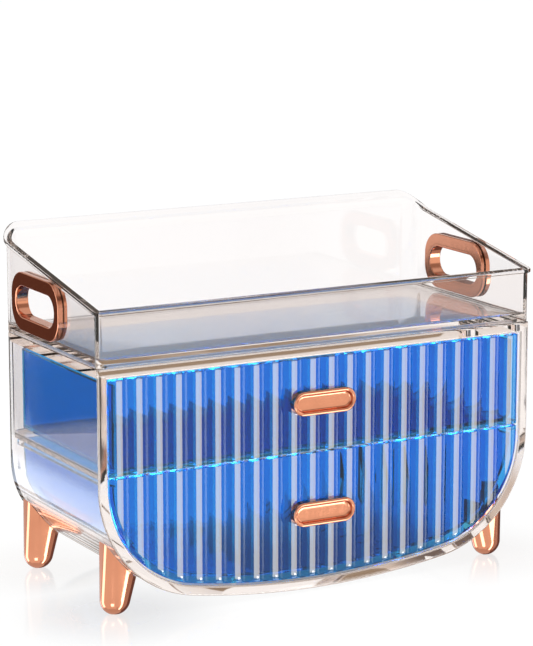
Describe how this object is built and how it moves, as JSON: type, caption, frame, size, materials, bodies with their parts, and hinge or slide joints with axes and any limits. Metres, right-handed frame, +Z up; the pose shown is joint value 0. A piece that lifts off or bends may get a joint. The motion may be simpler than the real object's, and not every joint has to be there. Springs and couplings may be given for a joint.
{
  "type": "cosmetic organizer box",
  "caption": "Clear tabletop organizer with a bowed cabinet, fluted blue drawers, a lift-off tray with finger grips, rose-gold pulls and tapered legs.",
  "frame": {"origin": "on the floor plane through the feet, below the middle of the outer box", "axes": "+X to the right along the width, +Y to the back, +Z up; the drawers open towards -Y"},
  "size_m": [0.289, 0.1358, 0.208],
  "materials": {
    "clear_plastic": "clear, polished",
    "blue_plastic": "transparent blue, polished",
    "rose_gold": "rose-gold plated, polished"
  },
  "bodies": {
    "cabinet": {"cabinet_shell": "clear_plastic", "middle_shelf": "clear_plastic", "front_left_leg": "rose_gold", "front_right_leg": "rose_gold", "back_left_leg": "rose_gold", "back_right_leg": "rose_gold"},
    "upper_drawer": {"upper_drawer_tub": "blue_plastic", "upper_drawer_front": "blue_plastic", "upper_drawer_pull": "rose_gold"},
    "lower_drawer": {"lower_drawer_tub": "blue_plastic", "lower_drawer_front": "blue_plastic", "lower_drawer_pull": "rose_gold"},
    "tray": {"top_tray": "clear_plastic", "left_grip_ring": "rose_gold", "left_grip_back_ring": "rose_gold", "right_grip_ring": "rose_gold", "right_grip_back_ring": "rose_gold"}
  },
  "joints": [
    {"name": "upper_drawer_slide", "type": "slide", "parent": "cabinet", "child": "upper_drawer", "axis": [0, -1, 0], "range_m": [0, 0.09]},
    {"name": "lower_drawer_slide", "type": "slide", "parent": "cabinet", "child": "lower_drawer", "axis": [0, -1, 0], "range_m": [0, 0.09]},
    {"name": "tray_lift", "type": "slide", "parent": "cabinet", "child": "tray", "axis": [0, 0, 1], "range_m": [0, 0.08]}
  ]
}
